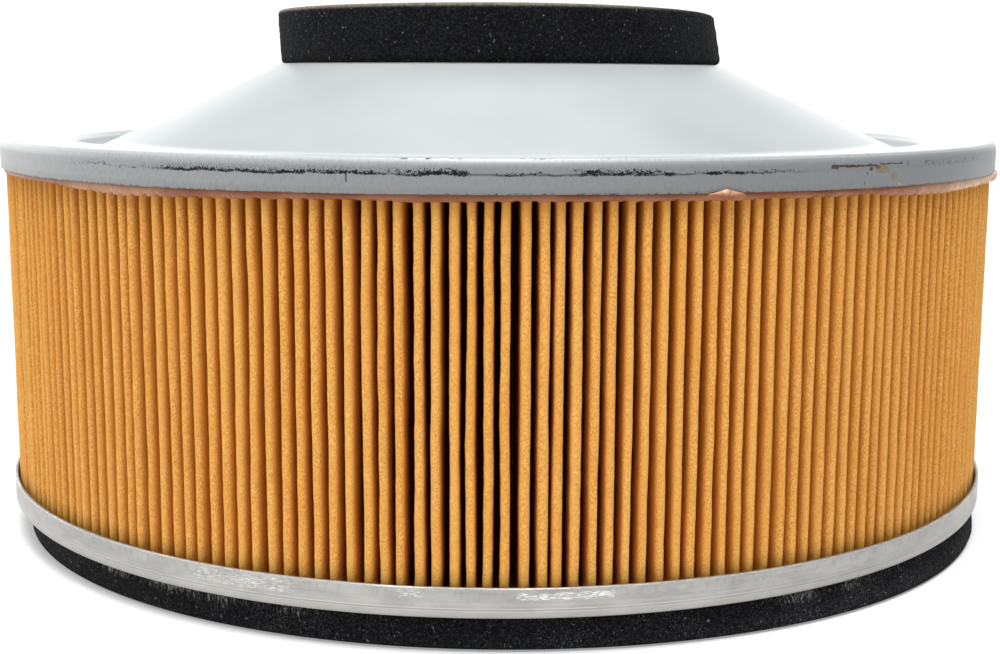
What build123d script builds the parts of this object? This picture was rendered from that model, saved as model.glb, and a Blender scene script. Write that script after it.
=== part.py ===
from build123d import *

import os
from math import atan2, cos, pi, radians, sin, tan

# A round motorcycle air filter: a ring of pleated paper held between two pressed steel
# end caps. The top cap rises as a cone to the clean-air outlet and the bottom cap is an
# open ring. A perforated steel liner carries the paper from inside, poured adhesive
# sets the paper into both caps, and foam rings seal the outlet and the underside.
# Millimetres. +Z is the filter's axis. The origin is on the axis, on the underside of
# the bottom foam, where the filter rests.

# ---- Driving dimensions ----
CAP_RADIUS = 90.0  # outside of both end caps
SHEET = 0.5  # pressed steel of both end caps
CHANNEL_RADIUS = 77.4  # clean-air side of the wall that closes each cap's channel inside

BOTTOM_CAP_FLOOR = 5.0  # underside of the bottom cap
BOTTOM_SKIRT_HEIGHT = 4.5
BOTTOM_BEND = 0.7

PAPER_SHOWING = 54.05  # height of the paper between the two skirts
TOP_SKIRT_HEIGHT = 5.0
FLANGE_FALL = 0.35  # the flange sinks this far from the skirt's corner to the groove
SKIRT_BEND = 2.0  # round edge between the top cap's flange and skirt
CHANNEL_BEND = 1.0  # round edge between the top cap's flange and groove
GROOVE_BEND = 1.0  # bottom of the groove round the cone

CONE_ANGLE = 24.6  # slope of the cone, in degrees from level
SHOULDER_RADIUS = 41.1  # where the cone meets the level land under the neck foam
SHOULDER_BEND = 1.0
NECK_HEIGHT = 81.3  # the level land
OUTLET_RADIUS = 30.0
OUTLET_BEND = 1.5
OUTLET_COLLAR = 7.5  # how far the outlet's rim is turned down

NECK_FOAM_TOP = 91.05
NECK_FOAM_INNER = 31.2
NECK_FOAM_FOOT = 40.7  # outer radius where it is glued down
NECK_FOAM_HEAD = 41.15  # outer radius at the free face
BOTTOM_FOAM_INNER = 78.6
BOTTOM_FOAM_OUTER = 88.9
FOAM_EDGE = 0.6  # soft edges of both foam rings
GLUE_FILM = 0.15  # contact adhesive under both foam rings
GLUE_INSET = 0.5  # the film stops short of the foam's edges

PLEATS = 230
PAPER = 0.5  # thickness
PAPER_OUTER = 89.2
PAPER_INNER = 79.1
PAPER_BOTTOM = 6.2
PAPER_TOP = 66.3
BEND_OUTSIDE = 0.68  # outside radius of each fold
SEAM_GAP = 0.1  # between the two ends of the paper strip
SEAM_END = 79.7  # radius where the strip's ends stop
SEAM_KINK = 82.5  # radius where the ends part towards their crests
CLIP_SHEET = 0.3
CLIP_REACH = 82.2  # radius that the clip's two sides reach

LINER_INNER = 78.5
LINER_SHEET = 0.4
LINER_LAP = 3.0  # width of the liner's welded overlap
HOLE_RADIUS = 2.75
HOLE_COLUMNS = 56
HOLE_ROWS = 6
HOLE_SPACING = 8.6  # from row to row

TOP_ADHESIVE_LOW = 62.9  # the bead shows below the top cap's skirt
BOTTOM_ADHESIVE_HIGH = 7.6

# ---- Worked out from the driving dimensions ----
BOTTOM_SKIRT_EDGE = BOTTOM_CAP_FLOOR + BOTTOM_SKIRT_HEIGHT
TOP_SKIRT_EDGE = BOTTOM_SKIRT_EDGE + PAPER_SHOWING
FLANGE_HEIGHT = TOP_SKIRT_EDGE + TOP_SKIRT_HEIGHT
GROOVE_CORNER = NECK_HEIGHT - (CHANNEL_RADIUS - SHOULDER_RADIUS) * tan(radians(CONE_ANGLE))
CHANNEL_INSIDE = CHANNEL_RADIUS + SHEET
CHANNEL_OUTSIDE = CAP_RADIUS - SHEET
LINER_OUTER = LINER_INNER + LINER_SHEET
FLANGE_SLOPE = atan2(FLANGE_FALL, CAP_RADIUS - CHANNEL_RADIUS)
FLANGE_DROP = SHEET / cos(FLANGE_SLOPE)  # from the flange's top straight down to its underside
BEND_INSIDE = BEND_OUTSIDE - PAPER
CREST_CENTRE = PAPER_OUTER - BEND_OUTSIDE
ROOT_CENTRE = PAPER_INNER + BEND_OUTSIDE
FOLD_ANGLE = 2 * pi / PLEATS
SEAM_ANGLE = pi / 2  # the strip's ends meet on the +Y side


def polar(angle, radial, sideways=0.0):
    """The point at a radius along a direction from the axis, moved sideways from that line."""
    x = radial * cos(angle) - sideways * sin(angle)
    y = radial * sin(angle) + sideways * cos(angle)
    return (x, y)


def ring(inner, outer):
    """A flat ring in the sketch being drawn."""
    Circle(outer)
    Circle(inner, mode=Mode.SUBTRACT)


# ---- Top end cap: collar, land, cone, groove, flange and skirt pressed from one sheet ----
top_cap_corners = [
    (OUTLET_RADIUS, NECK_HEIGHT - OUTLET_COLLAR),
    (OUTLET_RADIUS, NECK_HEIGHT),
    (SHOULDER_RADIUS, NECK_HEIGHT),
    (CHANNEL_RADIUS, GROOVE_CORNER),
    (CHANNEL_RADIUS, FLANGE_HEIGHT - FLANGE_FALL),
    (CAP_RADIUS, FLANGE_HEIGHT),
    (CAP_RADIUS, TOP_SKIRT_EDGE),
]
top_cap_bends = [OUTLET_BEND, SHOULDER_BEND, GROOVE_BEND, CHANNEL_BEND, SKIRT_BEND]

with BuildPart() as top_end_cap:
    with BuildSketch(Plane.XZ):
        with BuildLine():
            FilletPolyline(*top_cap_corners, radius=top_cap_bends)
            offset(amount=SHEET, side=Side.RIGHT)
        make_face()
    revolve(axis=Axis.Z)

# ---- Bottom end cap: a channel, open upwards, round an open centre ----
bottom_cap_corners = [
    (CHANNEL_RADIUS, BOTTOM_SKIRT_EDGE),
    (CHANNEL_RADIUS, BOTTOM_CAP_FLOOR),
    (CAP_RADIUS, BOTTOM_CAP_FLOOR),
    (CAP_RADIUS, BOTTOM_SKIRT_EDGE),
]

with BuildPart() as bottom_end_cap:
    with BuildSketch(Plane.XZ):
        with BuildLine():
            FilletPolyline(*bottom_cap_corners, radius=BOTTOM_BEND)
            offset(amount=SHEET, side=Side.LEFT)
        make_face()
    revolve(axis=Axis.Z)


# ---- Pleated paper: one folded strip whose two ends meet at the seam ----
def paper_face_edges(crest_half, root_half, seam_half):
    """The edges of one face of the folded strip, from its first end round to its last end."""
    edges = []
    here = polar(SEAM_ANGLE, SEAM_KINK, seam_half)
    edges.append(Line(polar(SEAM_ANGLE, SEAM_END, seam_half), here))
    for fold in range(PLEATS):
        crest = SEAM_ANGLE + (fold + 0.5) * FOLD_ANGLE
        rise = polar(crest, CREST_CENTRE, -crest_half)
        fall = polar(crest, CREST_CENTRE, crest_half)
        edges.append(Line(here, rise))
        edges.append(ThreePointArc(rise, polar(crest, CREST_CENTRE + crest_half), fall))
        here = fall
        if fold < PLEATS - 1:
            root = SEAM_ANGLE + (fold + 1) * FOLD_ANGLE
            arrive = polar(root, ROOT_CENTRE, -root_half)
            leave = polar(root, ROOT_CENTRE, root_half)
            edges.append(Line(here, arrive))
            edges.append(ThreePointArc(arrive, polar(root, ROOT_CENTRE - root_half), leave))
            here = leave
    kink = polar(SEAM_ANGLE, SEAM_KINK, -seam_half)
    edges.append(Line(here, kink))
    edges.append(Line(kink, polar(SEAM_ANGLE, SEAM_END, -seam_half)))
    return edges


paper_seam_inside = SEAM_GAP / 2
paper_seam_outside = paper_seam_inside + PAPER
dirty_side = paper_face_edges(BEND_OUTSIDE, BEND_INSIDE, paper_seam_inside)
clean_side = paper_face_edges(BEND_INSIDE, BEND_OUTSIDE, paper_seam_outside)
strip_ends = [
    Line(
        polar(SEAM_ANGLE, SEAM_END, side * paper_seam_inside),
        polar(SEAM_ANGLE, SEAM_END, side * paper_seam_outside),
    )
    for side in (-1, 1)
]

with BuildSketch() as paper_section:
    with BuildLine():
        add(dirty_side + clean_side + strip_ends)
    make_face()

with BuildPart() as pleated_paper:
    with BuildSketch(Plane.XY.offset(PAPER_BOTTOM)):
        add(paper_section.sketch)
    extrude(amount=PAPER_TOP - PAPER_BOTTOM)

# ---- Seam clip: a folded steel strip crimped over the paper's two ends ----
clip_half = paper_seam_outside + CLIP_SHEET

with BuildSketch() as clip_section:
    with BuildLine():
        Polyline(
            polar(SEAM_ANGLE, CLIP_REACH, paper_seam_outside),
            polar(SEAM_ANGLE, CLIP_REACH, clip_half),
            polar(SEAM_ANGLE, SEAM_END - CLIP_SHEET, clip_half),
            polar(SEAM_ANGLE, SEAM_END - CLIP_SHEET, -clip_half),
            polar(SEAM_ANGLE, CLIP_REACH, -clip_half),
            polar(SEAM_ANGLE, CLIP_REACH, -paper_seam_outside),
            polar(SEAM_ANGLE, SEAM_END, -paper_seam_outside),
            polar(SEAM_ANGLE, SEAM_END, paper_seam_outside),
            close=True,
        )
    make_face()

with BuildPart() as seam_clip:
    with BuildSketch(Plane.XY.offset(PAPER_BOTTOM)):
        add(clip_section.sketch)
    extrude(amount=PAPER_TOP - PAPER_BOTTOM)

# ---- Inner liner: perforated sheet rolled into a tube, lapped and welded at the back ----
with BuildSketch() as liner_section:
    ring(LINER_INNER, LINER_OUTER)
    with Locations(polar(SEAM_ANGLE, LINER_INNER - LINER_SHEET / 4)):
        Rectangle(LINER_LAP, LINER_SHEET * 1.5)

row_span = (HOLE_ROWS - 1) * HOLE_SPACING
middle_height = (BOTTOM_SKIRT_EDGE + TOP_SKIRT_EDGE) / 2
column_angle = 360 / HOLE_COLUMNS

with BuildPart() as inner_liner:
    with BuildSketch(Plane.XY.offset(PAPER_BOTTOM)):
        add(liner_section.sketch)
    extrude(amount=PAPER_TOP - PAPER_BOTTOM)
    for row in range(HOLE_ROWS):
        row_height = middle_height - row_span / 2 + row * HOLE_SPACING
        stagger = column_angle * (0.25 if row % 2 else 0.75)
        with Locations((0, 0, row_height)):
            with PolarLocations(LINER_INNER, HOLE_COLUMNS, start_angle=90 + stagger):
                Cylinder(HOLE_RADIUS, 4 * LINER_SHEET, rotation=(0, 90, 0), mode=Mode.SUBTRACT)

# ---- Adhesive: poured into both channels, round the ends of paper, clip and liner ----
with BuildSketch() as adhesive_section:
    ring(CHANNEL_INSIDE, CHANNEL_OUTSIDE)
    add(paper_section.sketch, mode=Mode.SUBTRACT)
    add(clip_section.sketch, mode=Mode.SUBTRACT)
    add(liner_section.sketch, mode=Mode.SUBTRACT)

under_skirt = FLANGE_HEIGHT - SHEET * tan(FLANGE_SLOPE) - FLANGE_DROP
under_groove = FLANGE_HEIGHT - FLANGE_FALL + SHEET * tan(FLANGE_SLOPE) - FLANGE_DROP

with BuildPart() as top_adhesive:
    with BuildSketch(Plane.XZ) as adhesive_block:
        with BuildLine():
            Polyline(
                (CHANNEL_INSIDE, PAPER_TOP),
                (CHANNEL_OUTSIDE, PAPER_TOP),
                (CHANNEL_OUTSIDE, under_skirt),
                (CHANNEL_INSIDE, under_groove),
                close=True,
            )
        make_face()
        outer_corner = adhesive_block.vertices().group_by(Axis.X)[-1].sort_by(Axis.Y)[-1]
        fillet(outer_corner, SKIRT_BEND - SHEET)
        inner_corner = adhesive_block.vertices().group_by(Axis.X)[0].sort_by(Axis.Y)[-1]
        fillet(inner_corner, CHANNEL_BEND - SHEET)
    revolve(axis=Axis.Z)
    with BuildSketch(Plane.XY.offset(TOP_ADHESIVE_LOW)):
        add(adhesive_section.sketch)
    extrude(amount=PAPER_TOP - TOP_ADHESIVE_LOW)

with BuildPart() as bottom_adhesive:
    with BuildSketch(Plane.XY.offset(BOTTOM_CAP_FLOOR + SHEET)):
        ring(CHANNEL_INSIDE, CHANNEL_OUTSIDE)
    extrude(amount=PAPER_BOTTOM - BOTTOM_CAP_FLOOR - SHEET)
    fillet(bottom_adhesive.edges().group_by(Axis.Z)[0], BOTTOM_BEND - SHEET)
    with BuildSketch(Plane.XY.offset(PAPER_BOTTOM)):
        add(adhesive_section.sketch)
    extrude(amount=BOTTOM_ADHESIVE_HIGH - PAPER_BOTTOM)

# ---- Foam seals, each on its film of contact adhesive ----
with BuildPart() as neck_foam_glue:
    with BuildSketch(Plane.XY.offset(NECK_HEIGHT)):
        ring(NECK_FOAM_INNER + GLUE_INSET, NECK_FOAM_FOOT - GLUE_INSET)
    extrude(amount=GLUE_FILM)

with BuildPart() as neck_foam_seal:
    with BuildSketch(Plane.XZ):
        with BuildLine():
            Polyline(
                (NECK_FOAM_INNER, NECK_HEIGHT + GLUE_FILM),
                (NECK_FOAM_FOOT, NECK_HEIGHT + GLUE_FILM),
                (NECK_FOAM_HEAD, NECK_FOAM_TOP),
                (NECK_FOAM_INNER, NECK_FOAM_TOP),
                close=True,
            )
        make_face()
    revolve(axis=Axis.Z)
    fillet(neck_foam_seal.edges().group_by(Axis.Z)[-1], FOAM_EDGE)

with BuildPart() as bottom_foam_glue:
    with BuildSketch(Plane.XY.offset(BOTTOM_CAP_FLOOR - GLUE_FILM)):
        ring(BOTTOM_FOAM_INNER + GLUE_INSET, BOTTOM_FOAM_OUTER - GLUE_INSET)
    extrude(amount=GLUE_FILM)

with BuildPart() as bottom_foam_seal:
    with BuildSketch():
        ring(BOTTOM_FOAM_INNER, BOTTOM_FOAM_OUTER)
    extrude(amount=BOTTOM_CAP_FLOOR - GLUE_FILM)
    fillet(bottom_foam_seal.edges().group_by(Axis.Z)[0], FOAM_EDGE)

# ---- One labelled STEP file for each piece ----
pieces = {
    "top_end_cap": top_end_cap,
    "bottom_end_cap": bottom_end_cap,
    "pleated_paper": pleated_paper,
    "seam_clip": seam_clip,
    "inner_liner": inner_liner,
    "top_adhesive": top_adhesive,
    "bottom_adhesive": bottom_adhesive,
    "neck_foam_seal": neck_foam_seal,
    "neck_foam_glue": neck_foam_glue,
    "bottom_foam_seal": bottom_foam_seal,
    "bottom_foam_glue": bottom_foam_glue,
}
os.makedirs("parts", exist_ok=True)
for label, piece in pieces.items():
    piece.part.label = label
    export_step(piece.part, f"parts/{label}.step")
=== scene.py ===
from math import ceil, cos, pi, radians, sin, tan

import bpy
import numpy as np
from mathutils import Matrix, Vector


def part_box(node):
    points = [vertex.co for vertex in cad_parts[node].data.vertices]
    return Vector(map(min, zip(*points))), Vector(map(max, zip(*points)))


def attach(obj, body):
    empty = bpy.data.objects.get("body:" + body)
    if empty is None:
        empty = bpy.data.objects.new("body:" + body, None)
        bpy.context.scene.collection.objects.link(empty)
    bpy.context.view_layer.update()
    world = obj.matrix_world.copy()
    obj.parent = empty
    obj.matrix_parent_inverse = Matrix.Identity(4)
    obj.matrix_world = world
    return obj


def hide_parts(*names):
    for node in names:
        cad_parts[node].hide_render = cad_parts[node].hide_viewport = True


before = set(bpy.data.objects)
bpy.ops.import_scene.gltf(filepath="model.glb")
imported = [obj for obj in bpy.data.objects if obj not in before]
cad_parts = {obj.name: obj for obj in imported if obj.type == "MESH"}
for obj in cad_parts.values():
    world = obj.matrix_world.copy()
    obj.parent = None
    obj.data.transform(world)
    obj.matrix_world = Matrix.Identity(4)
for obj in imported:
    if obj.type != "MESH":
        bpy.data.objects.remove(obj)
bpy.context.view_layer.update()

# The looks of a round motorcycle air filter. Metres, +Z up, the front towards -Y. An
# angle on the filter is counted from the front, positive towards +X. Materials work in
# millimetres, and give the places of their marks as angles in degrees.
MM = 0.001

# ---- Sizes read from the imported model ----
cap_low, cap_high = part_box("top_end_cap")
lower_cap_low, lower_cap_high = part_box("bottom_end_cap")
paper_low, paper_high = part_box("pleated_paper")
neck_foam_low, neck_foam_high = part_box("neck_foam_seal")
bottom_foam_low, bottom_foam_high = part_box("bottom_foam_seal")
CAP_RADIUS = cap_high[0]
SKIRT_EDGE = cap_low[2]
NECK_HEIGHT = cap_high[2]
LOWER_SKIRT_EDGE = lower_cap_high[2]
LOWER_CAP_FLOOR = lower_cap_low[2]
PAPER_RADIUS = paper_high[0]
FOAM_TOP = neck_foam_high[2]
FOAM_RADIUS = neck_foam_high[0]

# ---- Sizes of the two pressed caps ----
SHEET = 0.5 * MM
CHANNEL_RADIUS = 77.4 * MM
SHOULDER_RADIUS = 41.1 * MM
OUTLET_RADIUS = 30.0 * MM
OUTLET_COLLAR = 7.5 * MM
CONE_ANGLE = radians(24.6)
FLANGE_HEIGHT = SKIRT_EDGE + 5.0 * MM
FLANGE_FALL = 0.35 * MM
GROOVE_CORNER = NECK_HEIGHT - (CHANNEL_RADIUS - SHOULDER_RADIUS) * tan(CONE_ANGLE)
CREST_INSET = 0.62 * MM  # the flange ends in a sharp crest, this far inside the skirt
CREST_DROP = 0.95 * MM  # below the crest, the height that the wall takes to reach the skirt
CUT_EDGE = 0.08 * MM  # small flats on the sheet's cut edges


# ---- Noise, and places round the axis ----
def value_noise(points, cell, seed):
    """Smooth noise from -1 to 1 at every point, with lumps about one cell wide."""
    grid = points / cell + 4096.0
    base = np.floor(grid).astype(np.int64)
    part = grid - base
    part = part * part * (3 - 2 * part)
    total = np.zeros(points.shape[:-1])
    for corner in np.ndindex(2, 2, 2):
        at = base + np.array(corner)
        mixed = at[..., 0] * 73856093 ^ at[..., 1] * 19349663 ^ at[..., 2] * 83492791
        mixed = (mixed ^ seed * 2654435761) & 0xFFFFFFFF
        mixed = (mixed ^ mixed >> 13) * 1274126177 & 0xFFFFFFFF
        value = (mixed ^ mixed >> 16 & 0xFFFF) % 65536 / 32767.5 - 1
        weight = np.prod(np.where(corner, part, 1 - part), axis=-1)
        total += value * weight
    return total


def polar(angle, radius, height):
    """Points at an angle from the front, a radius and a height."""
    return np.stack(np.broadcast_arrays(radius * np.sin(angle), -radius * np.cos(angle), height), -1)


def bell(value, centre, width):
    """1 at the centre, falling smoothly to 0 over about the width."""
    return np.exp(-(((value - centre) / width) ** 2))


def skirt_lift(angle):
    """How far the front of the top skirt's lower edge is bent up."""
    return 0.20 * MM * bell(angle, 0.04, 0.42)


# ---- Meshes ----
def add_mesh(name, points, faces, material):
    """A smooth closed mesh that rides on the root body, its faces turned outwards."""
    mesh = bpy.data.meshes.new(name)
    corners = points[faces]
    first, second, third, fourth = (corners[:, k] for k in range(4))
    volume = np.einsum("ij,ij->", first, np.cross(second, third) + np.cross(third, fourth))
    if volume < 0:
        faces = faces[:, ::-1]
    mesh.from_pydata(points.tolist(), [], faces.tolist())
    mesh.shade_smooth()
    mesh.materials.append(material)
    piece = bpy.data.objects.new(name, mesh)
    bpy.context.scene.collection.objects.link(piece)
    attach(piece, "root")
    return piece


def wrapped_faces(rows, columns, rows_close):
    """Quads over a grid of points that closes round its columns, and round its rows if asked."""
    index = np.arange(rows * columns).reshape(rows, columns)
    here = index if rows_close else index[:-1]
    after = np.roll(index, -1, 0) if rows_close else index[1:]
    quads = [here, np.roll(here, -1, 1), np.roll(after, -1, 1), after]
    return np.stack(quads, -1).reshape(-1, 4)


def add_ring(name, section, columns, material, shape=None):
    """A closed section of (radius, height) points turned round the axis; shape may move its points."""
    angle = np.linspace(-pi, pi, columns, endpoint=False)
    radius = np.repeat(section[:, :1], columns, 1)
    height = np.repeat(section[:, 1:], columns, 1)
    points = polar(angle[None, :], radius, height)
    if shape:
        points = shape(points, angle[None, :], radius, height)
    faces = wrapped_faces(len(section), columns, True)
    return add_mesh(name, points.reshape(-1, 3), faces, material)


def rounded_section(inner, outer, low, high, edge, step):
    """Points round a rectangle of radius and height, its corners rounded, about a step apart."""
    corners = [(outer, high, 0), (inner, high, 90), (inner, low, 180), (outer, low, 270)]
    points = []
    for radius, height, start in corners:
        centre_r = radius - edge * (1 if radius == outer else -1)
        centre_z = height - edge * (1 if height == high else -1)
        count = max(3, int(edge * pi / 2 / step) + 1)
        for turn in np.radians(np.linspace(start, start + 90, count)):
            points.append((centre_r + edge * cos(turn), centre_z + edge * sin(turn)))
    filled = []
    for (r0, z0), (r1, z1) in zip(points, points[1:] + points[:1]):
        count = max(1, round(np.hypot(r1 - r0, z1 - z0) / step))
        for share in np.arange(count) / count:
            filled.append((r0 + (r1 - r0) * share, z0 + (z1 - z0) * share))
    return np.array(filled)


def traced_path(corners, bends, step, arc_points):
    """Points and left-hand normals along a path of straight lines joined by round bends."""
    corners = np.array(corners, float)
    ways = np.diff(corners, axis=0)
    lengths = np.linalg.norm(ways, axis=1)
    ways /= lengths[:, None]
    headings = np.arctan2(ways[:, 1], ways[:, 0])
    points, normals = [], []
    here = corners[0]
    for leg, way in enumerate(ways):
        turn, cut = 0.0, 0.0
        if leg < len(bends):
            turn = (headings[leg + 1] - headings[leg] + pi) % (2 * pi) - pi
            cut = bends[leg] * tan(abs(turn) / 2)
        there = corners[leg + 1] - way * cut
        count = max(2, ceil(np.linalg.norm(there - here) / step))
        for share in np.arange(count + 1) / count:
            points.append(here + (there - here) * share)
            normals.append((-way[1], way[0]))
        here = there
        if turn:
            inward = np.array((-way[1], way[0])) * np.sign(turn)
            centre = there + inward * bends[leg]
            for share in np.arange(1, arc_points) / arc_points:
                swing = turn * share
                x, y = -inward * bends[leg]
                points.append(centre + (x * cos(swing) - y * sin(swing), x * sin(swing) + y * cos(swing)))
                heading = headings[leg] + swing
                normals.append((-sin(heading), cos(heading)))
            here = corners[leg + 1] + ways[leg + 1] * cut
    return np.array(points), np.array(normals)


def pressed_section(corners, bends, side, step, back_step):
    """A closed section of sheet metal: its shown face, a cut edge, its hidden face and the other edge."""
    shown, normals = traced_path(corners, bends, step, 9)
    hidden, back_normals = traced_path(corners, bends, back_step, 5)
    hidden = (hidden + back_normals * SHEET * side)[::-1]
    for face in (shown, hidden):
        for end, beside in ((0, 1), (-1, -2)):
            way = face[beside] - face[end]
            face[end] += way / np.linalg.norm(way) * CUT_EDGE
    first, last = np.array(corners[0]), np.array(corners[-1])
    first_out, last_out = normals[0] * side, normals[-1] * side
    ends = [last + last_out * CUT_EDGE, last + last_out * (SHEET - CUT_EDGE)]
    starts = [first + first_out * (SHEET - CUT_EDGE), first + first_out * CUT_EDGE]
    return np.concatenate([shown, ends, hidden, starts])


# ---- Materials ----
# Sizes in millimetres, for the materials.
RIM = CAP_RADIUS / MM
FLANGE = FLANGE_HEIGHT / MM
TOP_EDGE = SKIRT_EDGE / MM
LOWER_EDGE = LOWER_SKIRT_EDGE / MM
LOWER_FLOOR = LOWER_CAP_FLOOR / MM
MIDDLE = 20.5  # what is below this height belongs to the bottom of the filter


class Shader:
    """A material's node tree, built in small steps; a value may be a number or a node's output."""

    def __init__(self, name, **surface):
        self.material = bpy.data.materials.new(name)
        self.material.use_nodes = True
        self.tree = self.material.node_tree
        self.surface = self.tree.nodes["Principled BSDF"]
        for socket, value in surface.items():
            self.put(self.surface.inputs[socket.replace("_", " ")], value)

    def put(self, socket, value):
        if isinstance(value, bpy.types.NodeSocket):
            self.tree.links.new(value, socket)
        else:
            socket.default_value = value

    def node(self, kind, inputs, output=0, **settings):
        made = self.tree.nodes.new("ShaderNode" + kind)
        for name, value in settings.items():
            setattr(made, name, value)
        for name, value in inputs.items():
            self.put(made.inputs[name], value)
        return made.outputs[output]

    def math(self, operation, *values):
        return self.node("Math", dict(enumerate(values)), operation=operation)

    def times(self, *values):
        product = values[0]
        for value in values[1:]:
            product = self.math("MULTIPLY", product, value)
        return product

    def most(self, *values):
        largest = values[0]
        for value in values[1:]:
            largest = self.math("MAXIMUM", largest, value)
        return largest

    def mix(self, share, low, high):
        inputs = {0: share, 6: low, 7: high}
        return self.node("Mix", inputs, output=2, data_type="RGBA")

    def between(self, value, low, high, start=0.0, end=1.0):
        """start where the value is below low, end above high, and a smooth step between."""
        inputs = {"Value": value, "From Min": low, "From Max": high, "To Min": start, "To Max": end}
        return self.node("MapRange", inputs, interpolation_type="SMOOTHSTEP")

    def place(self):
        """Each point's place in millimetres."""
        place = self.node("TexCoord", {}, output=3)
        return self.node("VectorMath", {0: place, 3: 1000.0}, operation="SCALE")

    def parts(self):
        """Angle from the front, radius and height of each point, in radians and millimetres."""
        split = self.tree.nodes.new("ShaderNodeSeparateXYZ")
        self.put(split.inputs[0], self.place())
        x, y, z = split.outputs
        angle = self.math("ARCTAN2", x, self.math("MULTIPLY", y, -1.0))
        square = self.math("ADD", self.math("POWER", x, 2.0), self.math("POWER", y, 2.0))
        return angle, self.math("SQRT", square), z

    def noise(self, across, along, detail=2.0, roughness=0.5, shift=0.0):
        """Noise whose lumps are so many millimetres wide across the axis, and high along it."""
        scale = (1 / across, 1 / across, 1 / along)
        place = self.node("VectorMath", {0: self.place(), 1: scale}, operation="MULTIPLY")
        place = self.node("VectorMath", {0: place, 1: (shift, shift, shift)}, operation="ADD")
        inputs = {"Vector": place, "Scale": 1.0, "Detail": detail, "Roughness": roughness}
        return self.node("TexNoise", inputs)

    def sector(self, angle, start, end, soft=4.0):
        """1 between two angles in degrees and 0 outside, fading over so many degrees."""
        rise = self.between(angle, radians(start), radians(start + soft))
        fall = self.between(angle, radians(end - soft), radians(end), 1.0, 0.0)
        return self.times(rise, fall)

    def hump(self, value, rise, top, fall, foot):
        """0 up to rise, 1 between top and fall, and 0 again from foot on."""
        return self.times(self.between(value, rise, top), self.between(value, fall, foot, 1.0, 0.0))

    def band(self, value, centre, half, soft):
        """1 within half of a centre value, and 0 outside, fading over soft."""
        away = self.math("ABSOLUTE", self.math("SUBTRACT", value, centre))
        return self.between(away, half, half + soft, 1.0, 0.0)

    def mark(self, angle, height, at, level, half_width, half_height, soft):
        """A soft-edged patch on the outside of the filter; at is in degrees, the rest in millimetres."""
        wide = self.band(angle, radians(at), half_width / RIM, soft / RIM)
        return self.times(wide, self.band(height, level, half_height, soft))

    def patch(self, angle, height, at, level, half_width, half_height):
        """A spot fading from 1 in its middle to 0 at its edge; at is in degrees, the rest in millimetres."""
        across = self.math("MULTIPLY", self.math("SUBTRACT", angle, radians(at)), RIM / half_width)
        along = self.math("DIVIDE", self.math("SUBTRACT", height, level), half_height)
        away = self.math("ADD", self.math("POWER", across, 2.0), self.math("POWER", along, 2.0))
        return self.between(away, 0.0, 1.0, 1.0, 0.0)

    def bump(self, height, distance, strength=1.0):
        """A relief of so many metres, set on the surface."""
        inputs = {"Height": height, "Distance": distance, "Strength": strength}
        self.put(self.surface.inputs["Normal"], self.node("Bump", inputs))

    def finish(self, **surface):
        for socket, value in surface.items():
            self.put(self.surface.inputs[socket.replace("_", " ")], value)
        return self.material


def rgb(red, green, blue):
    return (red, green, blue, 1.0)


def paper_material():
    shader = Shader("filter_paper", Roughness=0.9, Specular_IOR_Level=0.25)
    angle, radius, height = shader.parts()
    fibre = shader.noise(0.26, 0.34, detail=3.0, roughness=0.7)
    cloud = shader.noise(3.0, 9.0)
    fold_tone = shader.noise(1.7, 60.0, detail=1.0, shift=5.0)
    colour = shader.mix(shader.between(fibre, 0.26, 0.76), rgb(0.62, 0.235, 0.032), rgb(0.98, 0.560, 0.145))
    colour = shader.mix(shader.between(cloud, 0.4, 0.65, 0.0, 0.45), colour, rgb(0.76, 0.33, 0.055))
    colour = shader.mix(shader.between(fold_tone, 0.42, 0.66, 0.0, 0.3), colour, rgb(0.88, 0.50, 0.13))
    soaked_below = shader.between(height, LOWER_EDGE - 0.5, LOWER_EDGE + 3.2, 0.6, 0.0)
    colour = shader.mix(soaked_below, colour, rgb(0.26, 0.16, 0.02))
    # The paper is painted darker, in fibre flecks, towards the top cap's skirt, over the 4 mm below it.
    darker_under_skirt = shader.between(height, TOP_EDGE - 4.05, TOP_EDGE - 0.05)
    darker_under_skirt = shader.times(darker_under_skirt, shader.between(fibre, 0.35, 0.7, 0.15, 0.6))
    colour = shader.mix(darker_under_skirt, colour, rgb(0.42, 0.15, 0.02))
    # Painted shade: towards the roots of the folds the paper is painted darker and redder, as the shade deep
    # in the gaps between the folds.
    deep = shader.between(radius, RIM - 5.4, RIM - 2.0)
    painted_gap_shade = shader.mix(deep, rgb(0.120, 0.014, 0.0006), rgb(0.58, 0.190, 0.014))
    colour = shader.mix(shader.between(radius, RIM - 2.5, RIM - 1.0), painted_gap_shade, colour)
    # Painted shade: the paper is painted darker towards the sides of the filter, away from its front.
    painted_side_shade = shader.between(shader.math("ABSOLUTE", angle), radians(12), radians(50), 0.0, 0.17)
    colour = shader.mix(painted_side_shade, colour, rgb(0.36, 0.11, 0.010))
    shader.bump(fibre, 0.00013)
    return shader.finish(Base_Color=colour)


# The wear on the top cap's skirt lies along a crease, this far above the skirt's lower edge.
CREASE = 2.83
# Dense places of the rubbed line: angle, height above the crease, half width, half height, strength.
DENSE_PLACES = [
    (8.1, 0.30, 1.7, 0.42, 1.0),
    (10.1, 0.08, 2.2, 0.30, 1.0),
    (12.5, 0.30, 1.7, 0.32, 1.0),
    (14.9, -0.04, 1.2, 0.42, 2.4),
    (18.9, -0.08, 1.5, 0.34, 2.4),
    (21.3, 0.02, 1.8, 0.36, 1.0),
    (-3.1, 0.28, 1.7, 0.50, 1.0),
    (-5.4, 0.08, 3.4, 0.30, 1.0),
]
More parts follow.
